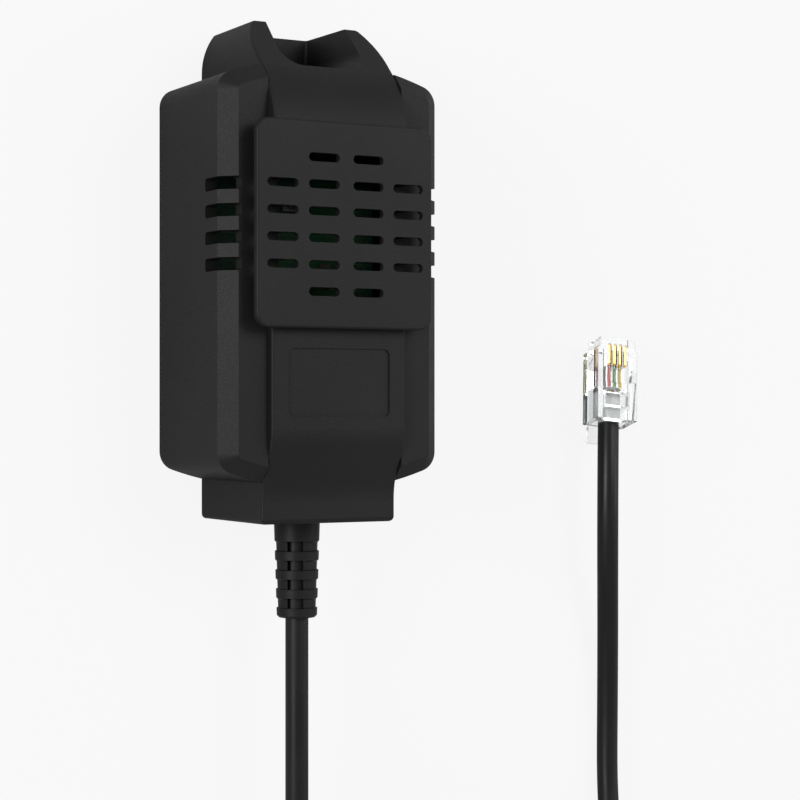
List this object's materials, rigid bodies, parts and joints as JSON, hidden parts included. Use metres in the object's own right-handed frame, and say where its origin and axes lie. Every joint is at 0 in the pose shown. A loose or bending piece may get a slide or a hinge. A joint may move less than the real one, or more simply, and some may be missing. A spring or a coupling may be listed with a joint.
{
  "type": "temperature and humidity sensor",
  "caption": "Wall-hung plastic sensor box with a slotted vent panel, hanging ear, ribbed boot and a long round cord ending in a clear modular plug.",
  "frame": {"origin": "centre of the flat back, under the middle of the housing without its cord", "axes": "+X to the housing's right, +Y from the cord's neck to the hanging ear, +Z out of the front; the sensor lies on its back on Z = 0"},
  "size_m": [0.0881, 0.1936, 0.0285],
  "materials": {
    "housing": "matte",
    "cover": "matte",
    "screw": "satin",
    "board": "satin",
    "chip": "matte",
    "sensor_chip": "satin",
    "small_part": "satin",
    "header": "satin",
    "pin": "polished",
    "core_red": "satin",
    "core_green": "satin",
    "core_yellow": "satin",
    "core_black": "satin",
    "cord": "satin",
    "boot": "satin",
    "tie": "matte",
    "clear_plug": "polished",
    "contact": "polished"
  },
  "bodies": {
    "root": {"back_cover": "cover", "board_screw_1": "screw", "board_screw_2": "screw", "cable_clamp": "cover", "cable_end": "cord", "chip_capacitor_1": "small_part", "chip_capacitor_2": "small_part", "chip_capacitor_3": "small_part", "chip_filter_cap": "header", "chip_resistor_1": "small_part", "chip_resistor_2": "small_part", "chip_resistor_3": "small_part", "chip_resistor_4": "small_part", "circuit_board": "board", "clamp_screw_1": "screw", "clamp_screw_2": "screw", "controller_chip": "chip", "cord_boot": "boot", "cord_coil": "cord", "cord_lead": "cord", "cord_tail": "cord", "cord_tie": "tie", "core_wire_1": "core_black", "core_wire_2": "core_red", "core_wire_3": "core_green", "core_wire_4": "core_yellow", "cover_screw_1": "screw", "cover_screw_2": "screw", "cover_screw_3": "screw", "cover_screw_4": "screw", "front_shell": "housing", "header_pins": "pin", "humidity_chip": "sensor_chip", "plug_bar": "clear_plug", "plug_cable_end": "cord", "plug_contact_1": "contact", "plug_contact_2": "contact", "plug_contact_3": "contact", "plug_contact_4": "contact", "plug_housing": "clear_plug", "plug_wire_1": "core_black", "plug_wire_2": "core_red", "plug_wire_3": "core_green", "plug_wire_4": "core_yellow", "vent_panel": "housing", "wire_header": "header", "wire_plug": "header"}
  },
  "joints": []
}
